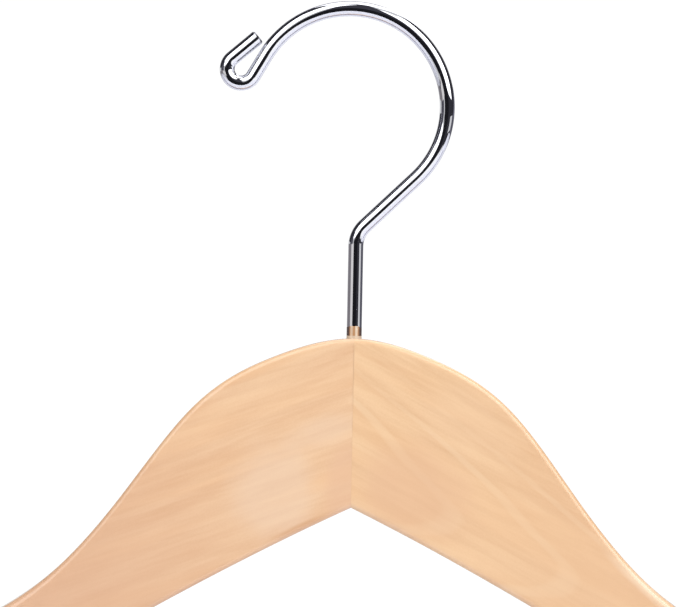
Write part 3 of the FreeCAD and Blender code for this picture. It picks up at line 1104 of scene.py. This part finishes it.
@dataclass
class Hook:
    """One bent wire: shank, neck, large round, small curl and a straight cut tail.

    Sizes are in millimetres and degrees. The radii of the bends are the centre line's. The head's
    profile has shares of the head's radius and thickness, from its lower middle to the shank.
    """

    finish: ChromePlate = field(default_factory=ChromePlate)
    wire_radius: float = 1.9
    round_radius: float = 24.5
    offset: float = 2.3
    neck_angle: float = 43.9
    bend_radius: float = 7.0
    curl_radius: float = 3.5
    curl_centre: tuple = (-27.2, 8.9)
    tail_angle: float = 40.6
    tail_length: float = 8.5
    tail_chamfer: float = 0.4
    head_radius: float = 2.9
    head_thickness: float = 1.6
    head_profile: tuple = ((0.0, 0.0), (0.35, 0.0), (0.85, 0.08), (1.0, 0.3), (1.0, 1.0))
    cut_beyond: float = 0.9
    shank_points: int = 24
    neck_points: int = 14
    lead_points: int = 6
    tail_points: int = 12
    bend_step: float = 2.5
    round_step: float = 1.4
    curl_step: float = 4.0
    around: int = 48

    @staticmethod
    def heading(degrees: float) -> np.ndarray:
        """The unit vector of x and z at an angle above +X."""
        return np.array([math.cos(math.radians(degrees)), math.sin(math.radians(degrees))])

    @staticmethod
    def arc(centre: np.ndarray, radius: float, start: float, finish: float, step: float) -> np.ndarray:
        """Points on a circle between two angles.

        Args:
            centre: The circle's centre.
            radius: Its radius.
            start: The first point's angle above +X, in degrees.
            finish: The last point's angle.
            step: About how far apart the points are, in degrees.

        Returns:
            Points of x and z.
        """
        count = max(3, int(abs(finish - start) / step) + 1)
        angle = np.radians(np.linspace(start, finish, count))
        return centre + radius * np.stack([np.cos(angle), np.sin(angle)], -1)

    def centre_line(self, bottom: float) -> np.ndarray:
        """The wire's centre line, from the shank's end to the tail's end.

        Straight runs joined by tangent arcs: the neck's line touches the large round, and the line
        before the curl touches both rounds.

        Args:
            bottom: Height of the shank's lower end, in millimetres.

        Returns:
            Points of x and z in order, in millimetres.
        """
        inner = self.round_radius - self.wire_radius
        centre = np.array([-self.offset, -math.sqrt(inner**2 - self.offset**2)])
        neck = self.heading(self.neck_angle)
        neck_end = centre + self.round_radius * self.heading(self.neck_angle - 90)
        corner = neck_end - neck * (neck_end[0] / neck[0])
        reach = self.bend_radius * math.tan(math.radians(90 - self.neck_angle) / 2)
        bend_centre = corner + np.array([self.bend_radius, -reach])
        curl = centre + np.array(self.curl_centre)
        bearing = math.degrees(math.atan2(self.curl_centre[1], self.curl_centre[0]))
        lean = math.degrees(math.acos((self.round_radius + self.curl_radius) / math.hypot(*self.curl_centre)))
        leave = bearing - lean
        tail_start = curl + self.curl_radius * self.heading(90 + self.tail_angle)
        tail_end = tail_start + self.heading(self.tail_angle) * self.tail_length
        shank_heights = np.linspace(bottom, corner[1] - reach, self.shank_points)
        lead_start = centre + self.round_radius * self.heading(leave)
        lead_end = curl + self.curl_radius * self.heading(leave - 180)
        bend_end, curl_end = 90 + self.neck_angle, self.tail_angle - 270
        return np.vstack([
            np.stack([np.zeros(self.shank_points), shank_heights], -1)[:-1],
            self.arc(bend_centre, self.bend_radius, 180, bend_end, self.bend_step)[:-1],
            np.linspace(corner + neck * reach, neck_end, self.neck_points)[:-1],
            self.arc(centre, self.round_radius, self.neck_angle - 90, leave, self.round_step)[:-1],
            np.linspace(lead_start, lead_end, self.lead_points)[:-1],
            self.arc(curl, self.curl_radius, leave - 180, curl_end, self.curl_step)[:-1],
            np.linspace(tail_start, tail_end, self.tail_points),
        ])

    def skin(self, bottom: float) -> tuple[np.ndarray, list]:
        """A circle carried along the centre line, with a peened head and a chamfered tail.

        A point at angle a is the line's point, plus the radius times cosine a along the line's
        side vector, plus the radius times sine a along Y.

        Args:
            bottom: Height of the head's lower face, in millimetres.

        Returns:
            Points in millimetres and faces.
        """
        line = self.centre_line(bottom + self.head_thickness)
        heading = headings(line)
        head = np.array(self.head_profile)
        head_line = np.stack([np.zeros(len(head)), bottom + head[:, 1] * self.head_thickness], -1)
        tip = line[-1:] - heading[-1:] * self.tail_chamfer
        line = np.vstack([head_line, line[:-1], tip, line[-1:], line[-1:]])
        first, last = np.repeat(heading[:1], len(head), 0), np.repeat(heading[-1:], 3, 0)
        heading = np.vstack([first, heading[:-1], last])
        radius = np.full(len(line), self.wire_radius)
        radius[: len(head)] = head[:, 0] * self.head_radius
        radius[-2:] = self.wire_radius - self.tail_chamfer, 0.0
        side = np.stack([heading[:, 1], -heading[:, 0]], -1)
        angle = np.linspace(0, 2 * math.pi, self.around, endpoint=False)
        outwards = side[:, None, :] * np.cos(angle)[None, :, None] * radius[:, None, None]
        flat = line[:, None, :] + outwards
        y = np.broadcast_to(np.sin(angle), (len(line), self.around)) * radius[:, None]
        points = np.stack([flat[..., 0], y, flat[..., 1]], -1)
        return points.reshape(-1, 3), grid_faces(len(line), self.around, True)

    def build(self) -> bpy.types.Object:
        """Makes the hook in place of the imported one.

        Returns:
            The finished piece.
        """
        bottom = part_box("swivel_hook")[0].z / MM
        points, faces = self.skin(bottom)
        piece = make_object("hook_wire", points, faces, 30.0)
        end = self.centre_line(bottom)[-1] + self.heading(self.tail_angle) * self.cut_beyond
        finish = replace(self.finish, cut_end=(end[0] * MM, 0.0, end[1] * MM))
        piece.data.materials.append(finish.material())
        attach(piece, "hook")
        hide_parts("swivel_hook")
        LOG.info("%s: %d faces", piece.name, len(piece.data.polygons))
        return piece


@dataclass
class InnerFittings:
    """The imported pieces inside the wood, which keep their shapes and get their finishes."""

    brass: TurnedMetal = TurnedMetal("turned_brass", linear(206, 172, 98), linear(176, 140, 74))
    zinc: TurnedMetal = TurnedMetal("zinc_steel", linear(176, 178, 182), linear(140, 143, 148), 0.4)
    dowel: BareWood = BareWood()

    def dress(self) -> None:
        """Puts each finish on its node."""
        finishes = {"hook_sleeve": self.brass, "retaining_washer": self.zinc}
        for name, finish in finishes.items():
            self.dress_node(name, finish.material())
        wood = self.dowel.material()
        for name in ("upper_dowel", "lower_dowel"):
            self.dress_node(name, wood)

    @staticmethod
    def dress_node(name: str, material: bpy.types.Material) -> None:
        """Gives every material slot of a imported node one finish.

        Args:
            name: The node.
            material: Its finish.
        """
        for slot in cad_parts[name].material_slots:
            slot.material = material
        LOG.info("%s: %s", name, material.name)


# ---------------------------------------------------------------------------------------------
# The studio
# ---------------------------------------------------------------------------------------------


@dataclass(frozen=True)
class Placing:
    """The place of a flat thing that faces the hanger, in degrees and metres.

    The direction leans from the camera's side: azimuth turns in the upright plane from +X towards
    +Z, and lean is the angle from straight in front (0) to straight behind (180).
    """

    azimuth: float
    lean: float
    distance: float
    width: float
    height: float

    def centre(self, aim: Vector) -> Vector:
        """The thing's centre.

        Args:
            aim: The point that it faces.

        Returns:
            The point at the distance from the aim, along the direction.
        """
        turn, lean = math.radians(self.azimuth), math.radians(self.lean)
        way = Vector((math.sin(lean) * math.cos(turn), -math.cos(lean), math.sin(lean) * math.sin(turn)))
        return aim + way * self.distance

    def apply(self, thing: bpy.types.Object, aim: Vector) -> None:
        """Moves an object there and turns its -Z to the hanger.

        Args:
            thing: The object to place.
            aim: The point that it faces.
        """
        thing.location = self.centre(aim)
        thing.rotation_mode = "QUATERNION"
        thing.rotation_quaternion = (aim - thing.location).to_track_quat("-Z", "Y")


@dataclass(frozen=True)
class SoftBox:
    """A rectangular studio light."""

    name: str
    placing: Placing
    radiance: float
    colour: tuple = (1.0, 1.0, 1.0)

    def build(self, aim: Vector) -> None:
        """Makes the light, unseen by the camera but seen in the chrome.

        Args:
            aim: The point that it faces.
        """
        data = bpy.data.lights.new(self.name, "AREA")
        data.shape = "RECTANGLE"
        data.size, data.size_y = self.placing.width, self.placing.height
        data.energy = self.radiance * math.pi * self.placing.width * self.placing.height
        data.color = self.colour
        light = in_scene(self.name, data)
        self.placing.apply(light, aim)
        light.visible_camera = False


@dataclass(frozen=True)
class Card:
    """A card of one even tone, seen only in reflections.

    Dark ones draw the lines in the chrome, and bright ones its glints. The camera doesn't see
    them and they cast no shadow. Only one that shades tells on dull surfaces, as a dark wall does.
    """

    name: str
    placing: Placing
    tone: float
    tint: tuple = (0.95, 0.93, 1.15)
    shades: bool = False

    def build(self, aim: Vector) -> None:
        """Makes the card.

        Args:
            aim: The point that it faces.
        """
        half_width, half_height = self.placing.width / 2, self.placing.height / 2
        sheet = rectangle(self.name, (-half_width, half_width), (-half_height, half_height))
        card = in_scene(self.name, sheet)
        self.placing.apply(card, aim)
        shader = Shader(self.name)
        material = shader.dress({
            "Base Color": (0.0, 0.0, 0.0, 1.0),
            "Specular IOR Level": 0.0,
            "Emission Color": (*(self.tone * share for share in self.tint), 1.0),
            "Emission Strength": 1.0,
        })
        material.cycles.emission_sampling = "NONE"
        card.data.materials.append(material)
        card.visible_camera = False
        card.visible_diffuse = self.shades
        card.visible_shadow = False


@dataclass
class Studio:
    """A white studio: surround, floor, soft lights, reflection cards and the camera, in metres."""

    aim: Vector
    frame_width: float = 0.16975
    camera_distance: float = 0.9
    camera_centre: tuple = (-0.0038, -0.0717)
    camera_roll: float = -1.1
    sensor: float = 36.0
    camera_clip: tuple = (0.05, 60.0)
    seen_strength: float = 1.05
    world_strength: float = 0.62
    floor_drop: float = 0.1
    floor_near: float = 0.42
    floor_reach: float = 1.6
    floor_tones: tuple = ((0.80, 0.805, 0.88, 1.0), (0.82, 0.825, 0.89, 1.0))
    backdrop_strength: float = 0.72
    backdrop_from: float = 0.55
    backdrop_to: float = 0.95
    lights: tuple = (
        SoftBox("left_soft_box", Placing(124, 50, 1.5, 1.1, 1.6), 1.92),
        SoftBox("right_soft_box", Placing(40, 52, 1.5, 1.4, 1.15), 1.8),
        SoftBox("overhead_soft_box", Placing(86, 114, 1.4, 1.05, 2.0), 1.6),
    )
    cards: tuple = (
        Card("camera_side_card", Placing(258, 14, 1.7, 2.5, 1.45), 0.012),
        Card("top_front_card", Placing(85, 40, 1.65, 0.5, 2.0), 0.05),
        Card("left_card", Placing(173, 76, 1.6, 1.5, 1.05), 0.08, shades=True),
        Card("right_card", Placing(-3, 56, 1.6, 2.4, 0.66), 0.035),
        Card("right_rear_card", Placing(-4, 122, 1.6, 1.9, 0.9), 0.18),
        Card("upper_left_card", Placing(135, 103, 1.3, 1.72, 1.9), 0.03, shades=True),
        Card("upper_right_card", Placing(30, 104, 1.5, 1.92, 1.75), 0.03),
        Card("left_pale_strip", Placing(180, 52, 0.4, 0.27, 0.06), 0.72, (1.0, 0.97, 0.95)),
        Card("left_grey_strip", Placing(180, 106, 0.4, 0.54, 0.06), 0.22, (1.0, 0.93, 0.98)),
        Card("right_pale_strip", Placing(0, 72, 0.4, 0.22, 0.06), 0.68, (1.0, 1.0, 1.0)),
        Card("right_dark_strip", Placing(0, 121, 0.4, 0.44, 0.06), 0.11),
        Card("right_glint", Placing(42, 64, 1.4, 0.36, 1.1), 5.0, (1.0, 1.0, 1.0)),
        Card("left_glint", Placing(130, 64, 1.4, 0.2, 0.9), 2.5, (1.0, 1.0, 1.0)),
        Card("top_rim_card", Placing(94, 146, 1.3, 0.65, 1.0), 0.3),
        Card("low_reflector", Placing(-38, 45, 0.6, 0.36, 0.30), 1.1, (1.0, 1.0, 1.0)),
        Card("floor_joint", Placing(270, 106, 0.2, 1.2, 0.09), 0.36),
    )

    def build(self) -> None:
        """Makes everything round the hanger."""
        self.surround()
        self.floor()
        for light in self.lights:
            light.build(self.aim)
        for card in self.cards:
            card.build(self.aim)
        self.camera()
        bpy.context.scene.view_settings.view_transform = "Standard"

    def surround(self) -> None:
        """A white world: full for the camera, and for the rest brighter behind than at the sides."""
        world = bpy.data.worlds.new("white_studio")
        world.use_nodes = True
        nodes, links = world.node_tree.nodes, world.node_tree.links
        background = nodes["Background"]
        background.inputs["Color"].default_value = (1.0, 1.0, 1.0, 1.0)
        kinds = ("TexCoord", "SeparateXYZ", "MapRange", "LightPath", "MapRange")
        way, parts, behind, path, strength = [nodes.new(f"ShaderNode{kind}") for kind in kinds]
        behind.interpolation_type = "SMOOTHSTEP"
        limits = (self.backdrop_from, self.backdrop_to, self.world_strength, self.backdrop_strength)
        for socket, value in zip(("From Min", "From Max", "To Min", "To Max"), limits):
            behind.inputs[socket].default_value = value
        strength.inputs["To Max"].default_value = self.seen_strength
        links.new(way.outputs["Generated"], parts.inputs[0])
        links.new(parts.outputs["Y"], behind.inputs["Value"])
        links.new(path.outputs["Is Camera Ray"], strength.inputs["Value"])
        links.new(behind.outputs[0], strength.inputs["To Min"])
        links.new(strength.outputs[0], background.inputs["Strength"])
        bpy.context.scene.world = world

    def floor(self) -> None:
        """A pale floor well below the hanging hanger, which ends a little in front of it."""
        low, reach = CAD_BOX[0].z - self.floor_drop, self.floor_reach
        floor = in_scene("floor", rectangle("floor", (-reach, reach), (-self.floor_near, reach), low))
        shader = Shader("pale_floor")
        tones = shader.mix(shader.noise(shader.place, 3.0), *self.floor_tones)
        material = shader.dress({"Base Color": tones, "Roughness": 0.9, "Specular IOR Level": 0.0})
        floor.data.materials.append(material)

    def camera(self) -> None:
        """A long lens straight in front, framed on the hook and the middle of the wood."""
        data = bpy.data.cameras.new("front_camera")
        data.sensor_width = self.sensor
        data.lens = self.sensor * self.camera_distance / self.frame_width
        camera = in_scene("front_camera", data)
        x, z = self.camera_centre
        camera.location = (x, -self.camera_distance, z)
        camera.rotation_euler = (math.pi / 2, math.radians(self.camera_roll), 0.0)
        data.clip_start, data.clip_end = self.camera_clip
        bpy.context.scene.camera = camera


# ---------------------------------------------------------------------------------------------
# The hanger
# ---------------------------------------------------------------------------------------------

LEFT_WOOD = LacqueredWood(
    "left_arm_lacquered_wood",
    grain_angle=20.0,
    pith_across=-40.0,
    pith_behind=60.0,
    pith_taper=0.10,
    pale=linear(243, 205, 165),
    deep=linear(226, 178, 136),
    far=linear(222, 176, 144),
    far_share=0.75,
    seed=0.31,
    patches=(
        Patch(-18.0, -119.0, 12.5, 14.0, linear(240, 211, 184), 0.42, 20.0, 0.45),
        Patch(-6.5, -103.5, 12.0, 4.5, linear(240, 211, 184), 0.35, 20.0, 0.4),
        Patch(0.5, -120.0, 8.0, 14.5, linear(233, 188, 153), 0.6, 8.0, 0.65, 0.5),
        # Painted shade: a thin dark line along the lower edge, where the rounding turns from the light.
        Patch(-11.5, -127.0, 11.0, 1.1, linear(216, 163, 118), 0.65, 25.5, 0.3, 0.3),
    ),
)
RIGHT_WOOD = LacqueredWood(
    "right_arm_lacquered_wood",
    grain_angle=-27.0,
    pith_across=-101.0,
    pith_behind=8.0,
    pith_taper=0.176,
    pale=linear(245, 207, 164),
    deep=linear(227, 181, 137),
    far=linear(233, 189, 149),
    far_share=0.7,
    painted_sheen_share=0.22,
    seed=0.83,
    ring_pitch=5.5,
    line_share=0.42,
    ring_shift=2.3,
    patches=(
        Patch(15.0, -119.0, 17.0, 15.0, linear(230, 184, 146), 0.62, -27.0, 0.3),
        Patch(29.0, -101.0, 16.0, 9.0, linear(249, 215, 177), 0.26, -27.0, 0.3),
        # Painted highlight: a thin pale band along the rounding of the upper edge near the shoulder.
        Patch(73.0, -140.6, 14.0, 1.6, linear(252, 226, 196), 0.55, -41.0, 0.2, 0.3),
    ),
)
HANGER_MIDDLE = Vector((0.0, 0.0, -0.06))


def main() -> None:
    """Builds the hanger piece by piece, then the studio."""
    logging.basicConfig(level=logging.INFO, format="%(message)s")
    bores = SeamBores().build()
    for side, finish in ((Side.LEFT, LEFT_WOOD), (Side.RIGHT, RIGHT_WOOD)):
        Arm(side, finish).build(bores)
    bpy.data.objects.remove(bores)
    Hook().build()
    InnerFittings().dress()
    Studio(HANGER_MIDDLE).build()


if __name__ == "__main__":
    main()
